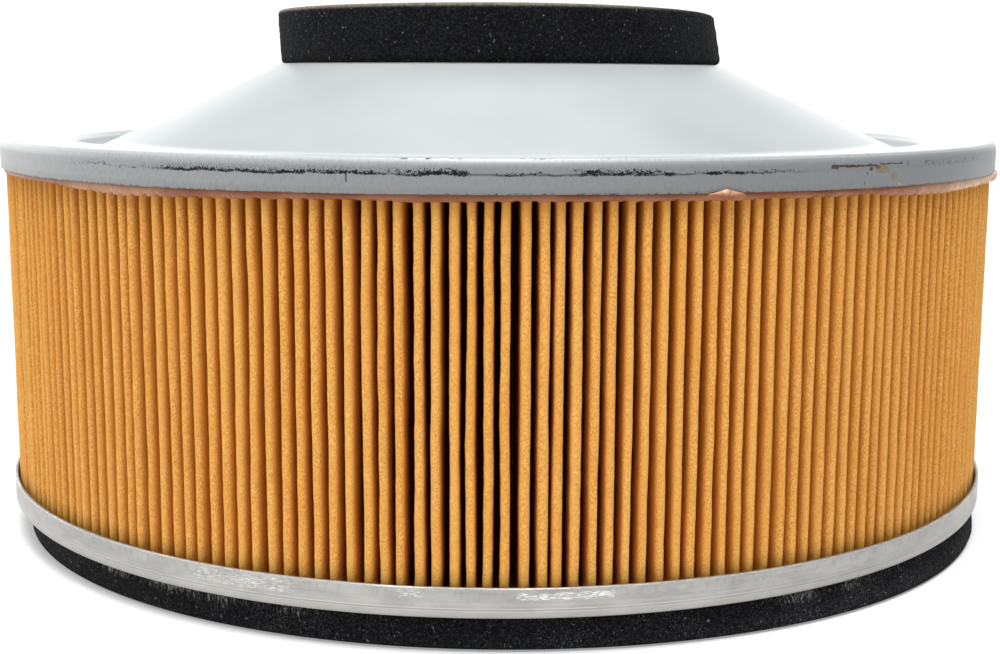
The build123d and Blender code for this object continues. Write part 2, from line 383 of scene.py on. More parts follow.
# Marks on the skirt: angle, height above its lower edge, half width, half height, softness.
RUST_LINES = [
    (34.3, 3.35, 4.4, 0.08, 0.16),
    (31.7, 3.27, 0.6, 0.20, 0.16),
    (39.3, 3.43, 2.6, 0.03, 0.14),
]
NICKS = [
    (41.9, 3.30, 0.05, 0.32, 0.10),
    (35.9, 2.20, 0.08, 0.14, 0.10),
    (35.6, 0.80, 0.04, 0.25, 0.10),
    (36.4, 2.80, 0.25, 0.15, 0.20),
    (-13.05, 2.40, 0.05, 0.68, 0.14),
]


def coat_grain(shader):
    return shader.noise(0.24, 0.20, detail=2.0, roughness=0.7, shift=3.0)


def coat_smudge(shader):
    return shader.noise(0.9, 0.36, detail=4.0, roughness=0.72, shift=23.0)


def coat_blot(shader):
    return shader.noise(1.1, 0.8, detail=3.0, roughness=0.6, shift=31.0)


def coat_and_painted_light(shader, cloud, fine, skirt):
    """The top cap's blue-grey coat before wear, with painted shade on the skirt and painted light in the
    groove and on the flange.
    """
    angle, radius, height = shader.parts()
    colour = shader.mix(cloud, rgb(0.274, 0.294, 0.299), rgb(0.316, 0.333, 0.335))
    # Painted shade: the skirt is painted darker than the flange and the cone, and darker again towards the
    # right.
    along = shader.between(angle, radians(-40), radians(48))
    painted_skirt_shade = shader.mix(along, rgb(0.288, 0.300, 0.300), rgb(0.206, 0.217, 0.226))
    along = shader.between(angle, radians(32), radians(54), 0.0, 0.85)
    painted_skirt_shade = shader.mix(along, painted_skirt_shade, rgb(0.160, 0.169, 0.176))
    colour = shader.mix(shader.times(skirt, 0.9), colour, painted_skirt_shade)
    # Painted light: the bottom of the groove is painted lighter, against its shade.
    painted_groove_light = shader.hump(radius, 65.0, 70.0, 78.0, 79.0)
    painted_groove_light = shader.times(painted_groove_light, shader.between(height, FLANGE - 1.15, FLANGE - 0.35, 0.8, 0.0))
    colour = shader.mix(painted_groove_light, colour, rgb(0.52, 0.54, 0.545))
    # Painted light: the flange is painted lighter, as painted glare.
    painted_flange_light = shader.between(height, FLANGE - 0.55, FLANGE - 0.35, 0.0, 0.5)
    painted_flange_light = shader.times(shader.between(radius, 77.8, 78.6), painted_flange_light)
    colour = shader.mix(painted_flange_light, colour, rgb(0.40, 0.415, 0.42))
    mottle = shader.times(skirt, shader.between(fine, 0.42, 0.70), 0.28)
    return shader.mix(mottle, colour, rgb(0.16, 0.165, 0.17))


def rubbed_line(shader, angle, up):
    """Where the skirt's crease is rubbed dark, as a share; up is the height above the skirt's edge."""
    patchy = shader.noise(4.0, 4.0, detail=2.0, shift=8.0)
    grain = coat_grain(shader)
    wavy = shader.math("ADD", up, shader.between(patchy, 0.3, 0.7, -0.12, 0.12))
    over = shader.math("SUBTRACT", wavy, CREASE)

    line = shader.times(
        shader.band(over, 0.0, 0.03, 0.20),
        shader.between(patchy, 0.35, 0.62, 0.35, 0.75),
        shader.between(angle, radians(18), radians(32), 1.0, 0.12),
        shader.between(angle, radians(-35), radians(-29), 0.05, 1.0),
    )
    close = shader.hump(over, -0.26, -0.04, 0.05, 0.62)
    wide = shader.hump(over, -0.30, -0.06, 0.12, 1.10)
    left = shader.times(shader.sector(angle, -35.0, -5.5, 6.0), close, 1.15)
    middle = shader.times(shader.sector(angle, -9.8, -1.2, 3.0), wide)
    right = shader.times(shader.sector(angle, 4.6, 16.2, 3.5), wide, 0.85)
    faint = shader.most(
        shader.times(shader.sector(angle, -46.0, -31.0), 0.55),
        shader.sector(angle, -1.0, 5.0, 1.5),
        shader.sector(angle, 15.0, 29.0),
    )
    rubbed = shader.most(left, middle, right, shader.times(faint, close, 0.7))
    dense = shader.most(*(
        shader.times(shader.patch(angle, over, at, level, half_width, half_height), strength)
        for at, level, half_width, half_height, strength in DENSE_PLACES
    ))
    density = shader.math("ADD", shader.times(rubbed, 0.28), shader.times(dense, 0.13))
    speckle = shader.times(shader.math("SUBTRACT", grain, 0.5), 1.1)
    reach = shader.math("ADD", shader.math("ADD", coat_smudge(shader), speckle), density)
    scuffs = shader.times(shader.between(reach, 0.64, 0.76), shader.between(density, 0.01, 0.06))
    dusted = shader.times(
        shader.hump(over, 0.0, 0.15, 0.35, 1.25),
        shader.sector(angle, -37.0, -1.0, 8.0),
        shader.between(grain, 0.47, 0.62),
        0.62,
    )
    return shader.most(line, scuffs, dusted)


def crest_crumbs(shader):
    """Where the flange's crest has lost its coat, as a share."""
    angle, radius, height = shader.parts()
    crest = shader.band(radius, RIM - 0.75, 0.12, 0.22)
    crest = shader.times(crest, shader.between(height, FLANGE - 0.55, FLANGE - 0.35))
    worn = shader.most(
        shader.sector(angle, -10.0, -2.0, 2.0),
        shader.sector(angle, 1.0, 6.0, 2.0),
        shader.sector(angle, 7.5, 13.5, 2.0),
    )
    crumbs = shader.noise(0.9, 0.4, detail=3.0, roughness=0.7, shift=14.0)
    return shader.times(crest, worn, shader.between(crumbs, 0.52, 0.60), 0.9)


def chips_and_edge_shadow(shader, angle, up, skirt, fine, colour):
    """Adds the chips, and a speckled dark line along the skirt's lower edge that is partly dirt and partly
    painted shadow where the skirt meets the bead.
    """
    chips = shader.times(
        shader.band(up, 0.22, 0.06, 0.22),
        shader.sector(angle, -8.0, 30.0, 6.0),
        shader.between(coat_smudge(shader), 0.50, 0.60),
        skirt,
        0.85,
    )
    colour = shader.mix(chips, colour, rgb(0.02, 0.02, 0.024))
    # Painted shadow and dirt: the lowest 0.3 mm of the skirt is painted dark in specks.
    edge = shader.between(up, 0.05, 0.30, 1.0, 0.0)
    edge = shader.times(edge, skirt, shader.between(fine, 0.40, 0.60, 0.15, 0.8))
    return shader.mix(edge, colour, rgb(0.03, 0.03, 0.03))


def rust_and_stain(shader, angle, up, skirt, colour):
    """Adds the rust line, nicks, stain and drop on the right side of the skirt."""
    grain = coat_grain(shader)
    uneven = shader.math("ADD", up, shader.between(coat_blot(shader), 0.3, 0.7, -0.09, 0.09))
    rust = shader.most(*(shader.mark(angle, uneven, *line) for line in RUST_LINES))
    rust = shader.times(rust, shader.between(grain, 0.32, 0.50, 0.45, 1.0))
    colour = shader.mix(shader.times(rust, skirt), colour, rgb(0.035, 0.016, 0.010))
    nicks = shader.most(*(shader.mark(angle, up, *nick) for nick in NICKS))
    colour = shader.mix(shader.times(nicks, skirt, 0.85), colour, rgb(0.02, 0.015, 0.012))
    dashes = shader.times(
        shader.sector(angle, 43.5, 59.0, 2.0),
        shader.band(up, 3.20, 0.22, 0.35),
        skirt,
        shader.between(coat_smudge(shader), 0.46, 0.62),
        0.8,
    )
    colour = shader.mix(dashes, colour, rgb(0.03, 0.03, 0.035))

    stain = shader.most(
        shader.patch(angle, up, 38.0, 2.70, 2.4, 1.0),
        shader.times(shader.patch(angle, up, 39.7, 1.65, 1.2, 1.2), 0.9),
    )
    streaks = shader.noise(0.42, 1.5, detail=4.0, roughness=0.75, shift=37.0)
    stain = shader.math("ADD", shader.times(stain, 0.34), shader.times(streaks, 0.75))
    stain = shader.times(
        shader.between(stain, 0.54, 0.66),
        shader.between(grain, 0.34, 0.62, 0.35, 0.95),
        shader.sector(angle, 36.0, 40.9, 0.8),
        skirt,
    )
    colour = shader.mix(stain, colour, rgb(0.20, 0.155, 0.045))
    core = shader.times(shader.patch(angle, up, 37.3, 3.05, 0.8, 0.40), shader.between(grain, 0.3, 0.5))
    colour = shader.mix(shader.times(core, skirt), colour, rgb(0.05, 0.028, 0.010))
    drop = shader.mark(angle, up, 40.6, 0.40, 0.10, 0.12, 0.12)
    return shader.mix(shader.times(drop, skirt), colour, rgb(0.60, 0.45, 0.08))


def top_cap_material():
    shader = Shader("top_cap_steel", Metallic=0.05)
    angle, radius, height = shader.parts()
    up = shader.math("SUBTRACT", height, TOP_EDGE)
    skirt = shader.between(radius, RIM - 2.4, RIM - 1.6)
    cloud = shader.noise(16.0, 16.0, detail=3.0)
    fine = shader.noise(0.5, 0.8, detail=3.0, roughness=0.6, shift=21.0)
    colour = coat_and_painted_light(shader, cloud, fine, skirt)
    dark = shader.times(rubbed_line(shader, angle, up), skirt, 0.95)
    colour = shader.mix(dark, colour, rgb(0.006, 0.006, 0.008))
    crumbs = crest_crumbs(shader)
    colour = shader.mix(crumbs, colour, rgb(0.02, 0.02, 0.022))
    colour = chips_and_edge_shadow(shader, angle, up, skirt, fine, colour)
    colour = rust_and_stain(shader, angle, up, skirt, colour)
    shader.bump(shader.noise(0.6, 0.6, detail=3.0), 0.000008)
    worn = shader.most(dark, crumbs)
    roughness = shader.most(shader.between(cloud, 0.2, 0.8, 0.34, 0.42), shader.times(worn, 0.8))
    gloss = shader.math("SUBTRACT", 0.35, shader.times(worn, 0.33))
    return shader.finish(Base_Color=colour, Roughness=roughness, Specular_IOR_Level=gloss)


# Scratched places of the bottom cap: first and last angle, softness in degrees, then the height
# above the cap's floor, half height and softness in millimetres, and strength.
SCRATCHED_PLACES = [
    (1.0, 11.5, 1.5, 3.35, 0.35, 0.5, 1.0),
    (-31.0, -17.0, 3.0, 3.1, 0.7, 0.8, 0.75),
    (-9.5, -6.0, 1.0, 3.6, 0.5, 0.5, 0.75),
    (19.0, 41.0, 5.0, 3.5, 0.4, 0.6, 0.25),
]


def bottom_cap_material():
    shader = Shader("bottom_cap_steel", Metallic=0.45)
    angle, _, height = shader.parts()
    up = shader.math("SUBTRACT", height, LOWER_FLOOR)
    cloud = shader.noise(6.0, 2.4, detail=4.0, roughness=0.62)
    lines = shader.noise(70.0, 0.11, detail=2.0)
    smear = shader.noise(0.9, 5.0, detail=3.0, roughness=0.65, shift=4.0)
    fleck = shader.noise(1.1, 0.13, detail=3.0, roughness=0.72, shift=12.0)
    patchy = shader.noise(5.0, 1.5, detail=2.0, shift=17.0)
    colour = shader.mix(shader.between(cloud, 0.3, 0.7), rgb(0.346, 0.346, 0.332), rgb(0.477, 0.473, 0.452))
    smeared = shader.times(shader.between(up, 2.6, 3.6), shader.between(smear, 0.46, 0.68), 0.5)
    colour = shader.mix(smeared, colour, rgb(0.276, 0.279, 0.276))
    colour = shader.mix(shader.between(lines, 0.40, 0.62, 0.0, 0.28), colour, rgb(0.552, 0.543, 0.525))

    seams = shader.most(
        shader.band(up, 1.55, 0.03, 0.07),
        shader.times(shader.band(up, 1.15, 0.02, 0.06), 0.8),
        shader.times(shader.band(up, 2.15, 0.02, 0.05), 0.4),
    )
    seams = shader.times(seams, shader.between(patchy, 0.30, 0.55, 0.25, 0.75))
    seams = shader.times(seams, shader.between(angle, radians(12), radians(34), 1.0, 0.3))
    colour = shader.mix(seams, colour, rgb(0.641, 0.632, 0.605))
    under = shader.band(up, 1.38, 0.03, 0.07)
    colour = shader.mix(shader.times(under, 0.4), colour, rgb(0.223, 0.223, 0.216))
    strip = shader.between(up, 0.9, 1.2, 0.5, 0.0)
    colour = shader.mix(strip, colour, rgb(0.436, 0.433, 0.396))

    scratched = shader.most(*(
        shader.times(shader.sector(angle, first, last, fade), shader.band(up, level, half, soft), strength)
        for first, last, fade, level, half, soft, strength in SCRATCHED_PLACES
    ))
    reach = shader.math("ADD", fleck, shader.times(scratched, 0.14))
    scratches = shader.times(scratched, shader.between(reach, 0.61, 0.70), 0.85)
    colour = shader.mix(scratches, colour, rgb(0.95, 0.94, 0.90))

    worn = shader.between(height, LOWER_EDGE - 0.22, LOWER_EDGE - 0.08)
    worn = shader.times(worn, shader.between(smear, 0.40, 0.60, 0.05, 0.75))
    colour = shader.mix(worn, colour, rgb(0.72, 0.68, 0.63))
    # Painted shade: the cap's top cut edge is painted dark against the light it takes from above.
    painted_edge_shade = shader.between(height, LOWER_EDGE - 0.06, LOWER_EDGE, 0.0, 0.7)
    colour = shader.mix(painted_edge_shade, colour, rgb(0.16, 0.13, 0.11))
    # Painted shade: the cap is painted darker towards the sides of the filter, away from its front.
    painted_side_shade = shader.between(shader.math("ABSOLUTE", angle), radians(15), radians(50), 0.0, 0.16)
    colour = shader.mix(painted_side_shade, colour, rgb(0.10, 0.10, 0.096))
    shader.bump(lines, 0.000012)
    roughness = shader.between(lines, 0.3, 0.7, 0.34, 0.50)
    return shader.finish(Base_Color=colour, Roughness=roughness)


def steel_material(name):
    shader = Shader(name, Metallic=0.85)
    cloud = shader.noise(4.0, 4.0, detail=3.0)
    colour = shader.mix(cloud, rgb(0.38, 0.39, 0.40), rgb(0.52, 0.53, 0.53))
    return shader.finish(Base_Color=colour, Roughness=shader.between(cloud, 0.0, 1.0, 0.32, 0.5))


def adhesive_material():
    shader = Shader("potting_adhesive", Roughness=0.46, Specular_IOR_Level=0.35, Subsurface_Weight=0.12)
    shader.finish(Subsurface_Radius=(0.0016, 0.0006, 0.0003))
    angle, _, height = shader.parts()
    cloud = shader.noise(5.0, 3.0, detail=3.0)
    fine = shader.noise(0.8, 0.8, detail=3.0)
    colour = shader.mix(shader.between(cloud, 0.36, 0.66), rgb(0.273, 0.087, 0.035), rgb(0.348, 0.139, 0.067))
    pale = shader.most(shader.sector(angle, -50.0, -28.0, 9.0), shader.sector(angle, 38.0, 70.0, 8.0))
    pale = shader.times(pale, shader.between(cloud, 0.25, 0.7, 0.45, 1.0))
    colour = shader.mix(pale, colour, rgb(0.487, 0.261, 0.145))
    creamy = shader.most(
        shader.sector(angle, 46.0, 75.0, 9.0),
        shader.times(shader.patch(angle, height, 20.3, TOP_EDGE + 0.55, 2.8, 0.9), 0.7),
    )
    creamy = shader.times(creamy, shader.between(fine, 0.30, 0.70, 0.35, 1.0))
    colour = shader.mix(creamy, colour, rgb(0.66, 0.46, 0.31))
    # Painted shade: the bottom adhesive, deep between the folds, is painted near black as the shade there.
    below = shader.between(height, MIDDLE - 0.5, MIDDLE + 0.5, 1.0, 0.0)
    colour = shader.mix(below, colour, rgb(0.045, 0.016, 0.008))
    shader.bump(fine, 0.00008)
    return shader.finish(Base_Color=colour)


def foam_material():
    shader = Shader("black_foam", Roughness=0.95, Specular_IOR_Level=0.12)
    angle, radius, height = shader.parts()
    below = shader.between(height, MIDDLE - 0.5, MIDDLE + 0.5, 1.0, 0.0)
    cells = shader.noise(0.5, 0.5, detail=3.0, roughness=0.7)
    specks = shader.noise(0.20, 0.20, detail=1.0, shift=9.0)
    flecks = shader.noise(0.50, 0.50, detail=0.0, shift=19.0)
    clumps = shader.noise(7.0, 7.0, detail=1.0, shift=2.0)
    open_cells = shader.between(cells, 0.42, 0.72)
    colour = shader.mix(open_cells, rgb(0.0035, 0.0037, 0.0045), rgb(0.020, 0.021, 0.023))
    reach = shader.math("ADD", specks, shader.between(clumps, 0.35, 0.65, -0.03, 0.03))
    speckled = shader.times(shader.between(reach, 0.61, 0.70), shader.between(below, 0.0, 1.0, 0.35, 1.0))
    colour = shader.mix(speckled, colour, rgb(0.075, 0.077, 0.085))
    colour = shader.mix(shader.between(flecks, 0.79, 0.83), colour, rgb(0.15, 0.15, 0.145))

    edge, top = FOAM_RADIUS / MM, FOAM_TOP / MM
    # Painted highlight: the neck foam's top outer edge is painted lighter, as the light it catches from
    # above.
    painted_top_edge_light = shader.times(
        shader.between(radius, edge - 1.7, edge - 0.5),
        shader.between(height, top - 0.8, top - 0.15),
        shader.between(cells, 0.3, 0.6, 0.35, 0.95),
    )
    colour = shader.mix(painted_top_edge_light, colour, rgb(0.20, 0.18, 0.14))

    hairs = shader.noise(0.20, 1.6, detail=2.0, roughness=0.6, shift=6.0)
    tufts = shader.noise(7.0, 40.0, detail=2.0, shift=26.0)
    hang = shader.times(
        shader.between(height, 2.3, 4.7),
        below,
        shader.most(shader.sector(angle, -54.0, -10.0, 10.0), shader.sector(angle, 20.0, 52.0, 10.0)),
        shader.between(tufts, 0.44, 0.62, 0.25, 1.0),
    )
    reach = shader.math("ADD", hairs, shader.times(hang, 0.15))
    hairs = shader.times(shader.between(reach, 0.61, 0.72), shader.between(hang, 0.05, 0.4), 0.85)
    colour = shader.mix(hairs, colour, rgb(0.27, 0.265, 0.25))
    shader.bump(cells, 0.0003)
    return shader.finish(Base_Color=colour)


def glue_material():
    shader = Shader("contact_glue", Roughness=0.4)
    cloud = shader.noise(1.0, 2.0, detail=3.0)
    return shader.finish(Base_Color=shader.mix(cloud, rgb(0.35, 0.33, 0.28), rgb(0.6, 0.58, 0.5)))


filter_paper = paper_material()
top_cap_steel = top_cap_material()
bottom_cap_steel = bottom_cap_material()
plain_steel = steel_material("plain_steel")
potting_adhesive = adhesive_material()
black_foam = foam_material()
contact_glue = glue_material()

cad_materials = {
    "seam_clip": plain_steel,
    "inner_liner": plain_steel,
    "top_adhesive": potting_adhesive,
    "bottom_adhesive": potting_adhesive,
    "neck_foam_glue": contact_glue,
    "bottom_foam_glue": contact_glue,
}
for node, material in cad_materials.items():
    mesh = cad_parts[node].data
    mesh.materials.clear()
    mesh.materials.append(material)


# ---- The two pressed caps, with the slight unevenness of thin sheet ----
def make_top_cap():
    corners = [
        (OUTLET_RADIUS, NECK_HEIGHT - OUTLET_COLLAR),
        (OUTLET_RADIUS, NECK_HEIGHT),
        (SHOULDER_RADIUS, NECK_HEIGHT),
        (CHANNEL_RADIUS, GROOVE_CORNER),
        (CHANNEL_RADIUS, FLANGE_HEIGHT - FLANGE_FALL),
        (CAP_RADIUS - CREST_INSET, FLANGE_HEIGHT),
        (CAP_RADIUS, FLANGE_HEIGHT - CREST_DROP),
        (CAP_RADIUS, SKIRT_EDGE),
    ]
    bends = [1.5 * MM, 1.0 * MM, 1.0 * MM, 1.0 * MM, 0.45 * MM, 1.9 * MM]
    section = pressed_section(corners, bends, -1, 1.2 * MM, 4.0 * MM)

    def shape(points, angle, radius, height):
        free = np.clip((radius - 44 * MM) / (10 * MM), 0, 1)
        skirt = np.clip((FLANGE_HEIGHT - 1.5 * MM - height) / (3 * MM), 0, 1) * (radius > 85 * MM)
        rim = polar(angle, CAP_RADIUS, 0.0)
        lift = skirt_lift(angle) + 0.05 * MM * value_noise(rim, 9 * MM, 41)
        dent = 0.05 * MM * value_noise(points, 17 * MM, 42) * free
        press = 0.06 * MM * np.clip(value_noise(rim, 6 * MM, 43), 0, 1) * skirt
        return polar(angle, radius + dent - press, height + lift * skirt + 0.6 * dent)

    piece = add_ring("top_cap", section, 560, top_cap_steel, shape)
    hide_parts("top_end_cap")


def make_bottom_cap():
    corners = [
        (CHANNEL_RADIUS, LOWER_SKIRT_EDGE),
        (CHANNEL_RADIUS, LOWER_CAP_FLOOR),
        (CAP_RADIUS, LOWER_CAP_FLOOR),
        (CAP_RADIUS, LOWER_SKIRT_EDGE),
    ]
    section = pressed_section(corners, [0.8 * MM, 0.7 * MM], 1, 0.35 * MM, 1.0 * MM)

    def shape(points, angle, radius, height):
        skirt = np.clip((height - LOWER_CAP_FLOOR) / (4 * MM), 0, 1)
        rim = polar(angle, CAP_RADIUS, 0.0)
        lift = 0.05 * MM * value_noise(rim, 7 * MM, 51) + 0.02 * MM * value_noise(rim, 1.5 * MM, 52)
        dent = 0.04 * MM * value_noise(points, 12 * MM, 53)
        return polar(angle, radius + dent * skirt, height + lift * skirt)

    piece = add_ring("bottom_cap", section, 720, bottom_cap_steel, shape)
    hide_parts("bottom_end_cap")


make_top_cap()
make_bottom_cap()


# ---- Pleated paper: the CAD strip with folds as uneven as real ones ----
PLEATS = 230
PAPER = 0.5 * MM
FOLD_WIDTH = 1.34 * MM
PAPER_DEPTH = 10.1 * MM
ARC_POINTS = 5
SEAM_HALF = 0.05 * MM  # half the gap between the strip's two ends, at the back
SEAM_END = 79.7 * MM  # radius where the strip's ends stop
SEAM_KINK = 82.5 * MM  # radius where the ends part towards their crests
# How uneven the folds are: from fold to fold, and along each fold.
CREST_SHIFT = (0.11 * MM, 0.035 * MM)
CREST_WIDTH = (0.06, 0.035)
CREST_HEIGHT = (0.10 * MM, 0.03 * MM)
ROOT_SHIFT = (0.08 * MM, 0.05 * MM)
WALL_BOW = (0.08 * MM, 0.05 * MM)


def fold_waves(random, heights, steady, wave):
    """For every fold, an amount that differs from fold to fold and drifts along its height."""
    span = paper_high[2] - paper_low[2]
    amount = random.normal(0, steady, (PLEATS, 1)) * np.ones(len(heights))
    for turns in (0.5, 1.3, 2.6, 5.2, 11.0, 19.0):
        phase = random.uniform(0, 2 * pi, (PLEATS, 1))
        size = random.normal(0, wave / turns ** 0.5, (PLEATS, 1))
        amount += size * np.sin(2 * pi * turns * (heights - heights[0]) / span + phase)
    return amount


def make_paper(name, first, last, row_count):
    """The folds from first up to last, as one closed piece of the strip."""
    random = np.random.default_rng(11)
    heights = np.linspace(paper_low[2], paper_high[2], row_count)
    crest_shift = fold_waves(random, heights, *CREST_SHIFT)
    crest_half = FOLD_WIDTH / 2 * (1 + fold_waves(random, heights, *CREST_WIDTH))
    crest_top = PAPER_RADIUS - np.abs(fold_waves(random, heights, *CREST_HEIGHT))
    root_shift = fold_waves(random, heights, *ROOT_SHIFT)
    bow = fold_waves(random, heights, *WALL_BOW)
    root_half = FOLD_WIDTH / 2
    root_low = PAPER_RADIUS - PAPER_DEPTH
    calm = np.minimum(np.arange(PLEATS), PLEATS - 1 - np.arange(PLEATS))
    calm = np.clip(calm / 3.0, 0, 1)[:, None]
    crest_shift, root_shift, bow = crest_shift * calm, root_shift * calm, bow * calm
    turn = np.radians(np.linspace(-90, 90, ARC_POINTS))

    def column(angle, radial, sideways):
        """One line of points up the paper, at a radius along an angle and sideways from it."""
        x = radial * np.sin(angle) + sideways * np.cos(angle)
        y = -radial * np.cos(angle) + sideways * np.sin(angle)
        return np.stack(np.broadcast_arrays(x, y, heights), -1)

    def side(crest_less, root_less, seam_half):
        """One face of the strip; crest_less and root_less are what its bends are smaller by."""
        lines = []
        if first == 0:
            lines += [column(pi, SEAM_END, seam_half), column(pi, SEAM_KINK, seam_half)]
        for fold in range(first, last):
            crest = pi + (fold + 0.5) * 2 * pi / PLEATS
            half = crest_half[fold]
            bend = half - crest_less
            arc = [
                column(crest, crest_top[fold] - half + bend * cos(t), bend * sin(t) + crest_shift[fold])
                for t in turn
            ]
            if fold > first:
                lines.append((lines[-1] + arc[0]) / 2 + column(crest, 0, bow[fold - 1]) * (1, 1, 0))
            elif first:
                bend = root_half - root_less
                root = pi + first * 2 * pi / PLEATS
                for t in turn[ARC_POINTS // 2:]:
                    foot = root_low + root_half - bend * cos(t)
                    lines.append(column(root, foot, bend * sin(t) + root_shift[first - 1]))
                lines.append((lines[-1] + arc[0]) / 2 + column(crest, 0, bow[first - 1]) * (1, 1, 0))
            lines.extend(arc)
            if fold == PLEATS - 1:
                break
            bend = root_half - root_less
            root = pi + (fold + 1) * 2 * pi / PLEATS
            arc = [
                column(root, root_low + root_half - bend * cos(t), bend * sin(t) + root_shift[fold])
                for t in turn
            ]
            lines.append((lines[-1] + arc[0]) / 2 + column(root, 0, bow[fold]) * (1, 1, 0))
            lines.extend(arc[: ARC_POINTS // 2 + 1] if fold == last - 1 else arc)
        if last == PLEATS:
            lines += [column(pi, SEAM_KINK, -seam_half), column(pi, SEAM_END, -seam_half)]
        return np.stack(lines, 1)

    dirty = side(0.0, PAPER, SEAM_HALF)
    clean = side(PAPER, 0.0, SEAM_HALF + PAPER)
    points = np.concatenate([dirty, clean[:, ::-1]], 1)
    rows, columns = points.shape[:2]
    walls = wrapped_faces(rows, columns, False)
    lead = np.arange(dirty.shape[1] - 1)
    strip = np.stack([lead, lead + 1, columns - 2 - lead, columns - 1 - lead], -1)
    faces = np.concatenate([walls, strip[:, ::-1], strip + (rows - 1) * columns])
    piece = add_mesh(name, points.reshape(-1, 3), faces, filter_paper)
    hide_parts("pleated_paper")


# The pieces meet at the front and at both sides; the two at the back have fewer rows.
LEFT_SIDE, FRONT, RIGHT_SIDE = 58, 115, 172
make_paper("paper_left", LEFT_SIDE, FRONT, 58)
make_paper("paper_right", FRONT, RIGHT_SIDE, 58)
make_paper("paper_back_left", 0, LEFT_SIDE, 22)
make_paper("paper_back_right", RIGHT_SIDE, PLEATS, 22)


# ---- Foam rings ----
def make_foam(name, node, box, inner, inset, edge, columns, seed, *,
              taper=0.0, lean=0.0, slip=(0.0, 0.0), flare=0.0):
    """A foam ring with an uneven skin of cells.

    Its outside narrows downwards by taper, its right side leans inwards at the top by lean, the
    whole ring is glued on off centre by slip, and its foot spreads by flare at the front right.
    """
    low, high = box
    section = rounded_section(inner, high[0] - inset, low[2], high[2], edge, 0.5 * MM)

    def shape(points, angle, radius, height):
        cell = value_noise(points, 0.9 * MM, seed) + 0.6 * value_noise(points, 0.45 * MM, seed + 1)
        sag = 0.15 * MM * value_noise(points, 14 * MM, seed + 2)
        outside = radius > (inner + high[0]) / 2
        share = (height - low[2]) / (high[2] - low[2])
        spread = (flare * bell(angle, radians(48), radians(28)) - taper) * (1 - share) * outside
        free = (height > low[2] + 0.3 * MM) & (height < high[2] - 0.3 * MM)
        away = radius + spread + (0.09 * MM * cell + sag) * free
        points = polar(angle, away, height + 0.05 * MM * cell * free)
        right = np.clip(np.sin(angle), 0, 1) ** 2 * outside
        points[..., 0] += slip[0] - lean * (share - 0.36) * right
        points[..., 1] += slip[1]
        points[..., 2] -= 0.3 * lean * share ** 3 * right
        return points

    piece = add_ring(name, section, columns, black_foam, shape)
    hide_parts(node)


make_foam(
    "neck_foam", "neck_foam_seal", (neck_foam_low, neck_foam_high),
    inner=31.2 * MM, inset=0.2 * MM, edge=0.7 * MM, columns=620, seed=3,
    taper=0.45 * MM, lean=2.0 * MM,
)
make_foam(
    "bottom_foam", "bottom_foam_seal", (bottom_foam_low, bottom_foam_high),
    inner=78.6 * MM, inset=0.9 * MM, edge=0.6 * MM, columns=1300, seed=5,
    slip=(0.6 * MM, -0.7 * MM), flare=1.25 * MM,
)


# ---- Adhesive bead under the top cap's skirt ----
# How far the bead hangs below the skirt, in millimetres, at angles in degrees from the front.
BEAD_ANGLES = (
    -180, -90, -62, -52, -46, -38, -29, -20, -12, -6, 0, 16, 24, 37, 42, 48, 60, 75, 90, 180,
)
BEAD_HANGS = (
    0.8, 0.4, 0.2, 0.4, 1.0, 1.4, 1.2, 0.9, 0.8, 1.05,
    0.85, 0.85, 0.85, 0.9, 1.3, 1.6, 1.2, 1.2, 0.7, 0.8,
)
# One drop climbs over the skirt's lower edge.
DROP_ANGLE = radians(20.2)
DROP_HALF_ANGLE = 0.040
DROP_HEIGHT = 0.66
POINTS_A_FOLD = 16


def make_bead():
    columns = PLEATS * POINTS_A_FOLD
    angle = np.linspace(-pi, pi, columns, endpoint=False)
    circle = polar(angle, CAP_RADIUS, 0.0)
    swell = value_noise(circle, 9 * MM, 31)
    lump = value_noise(circle, 2.4 * MM, 32)

    # The bead's lower edge arches up between the folds of the paper.
    hang = np.interp(np.degrees(angle), BEAD_ANGLES, BEAD_HANGS)
    phase = np.cos(angle * PLEATS - PLEATS * pi + 0.5 * lump)
    deep = 0.35 + 0.38 * bell(angle, radians(-38), 0.30) + 0.25 * bell(angle, radians(45), 0.35)
    arch = np.abs(phase) * np.where(phase > 0, 0.62, 0.20) * (0.8 + 0.6 * swell) * deep
    calm = np.clip((hang - 0.3) / 0.4, 0, 1)
    hang = hang + 0.10 * swell + 0.10 * lump + 0.20 - arch * calm

    ridge = np.clip(1 - np.abs(angle - DROP_ANGLE) / DROP_HALF_ANGLE, 0, 1)
    swollen = np.clip(2.2 * ridge, 0, 1)
    swollen = swollen * swollen * (3 - 2 * swollen)
    drop = DROP_HEIGHT * ridge ** 1.6 * (1 + 0.15 * lump)
    bulge = 0.5 * bell(angle, radians(72), 0.10) * (1 + 0.5 * lump)
    thick = 0.30 + 0.12 * hang + 0.08 * swell + 0.06 * lump + 0.68 * swollen + bulge

    proud = PAPER_RADIUS + thick * MM
    inside = PAPER_RADIUS - 1.6 * MM
    edge = SKIRT_EDGE + skirt_lift(angle)
    lowest = edge - hang * MM
    top = edge + (0.12 * (1 - swollen) + drop) * MM

    def level(share):
        return edge * (1 - share) + lowest * share

    section = [
        (inside, top),
        (CAP_RADIUS - 0.55 * MM, top),
        (proud - 0.06 * MM, edge + (drop - 0.02 - 0.08 * swollen) * MM),
        (proud, level(0.25)),
        (proud + 0.01 * MM, level(0.5)),
        (proud - 0.04 * MM, level(0.72)),
        (proud - 0.16 * MM, level(0.9)),
        (proud - 0.34 * MM, lowest),
        (proud - 0.8 * MM, lowest + 0.1 * MM),
        (inside, edge - 0.5 * MM),
    ]
    points = np.stack([polar(angle, radius, height) for radius, height in section])
    faces = wrapped_faces(len(section), columns, True)
    add_mesh("adhesive_bead", points.reshape(-1, 3), faces, potting_adhesive)


make_bead()


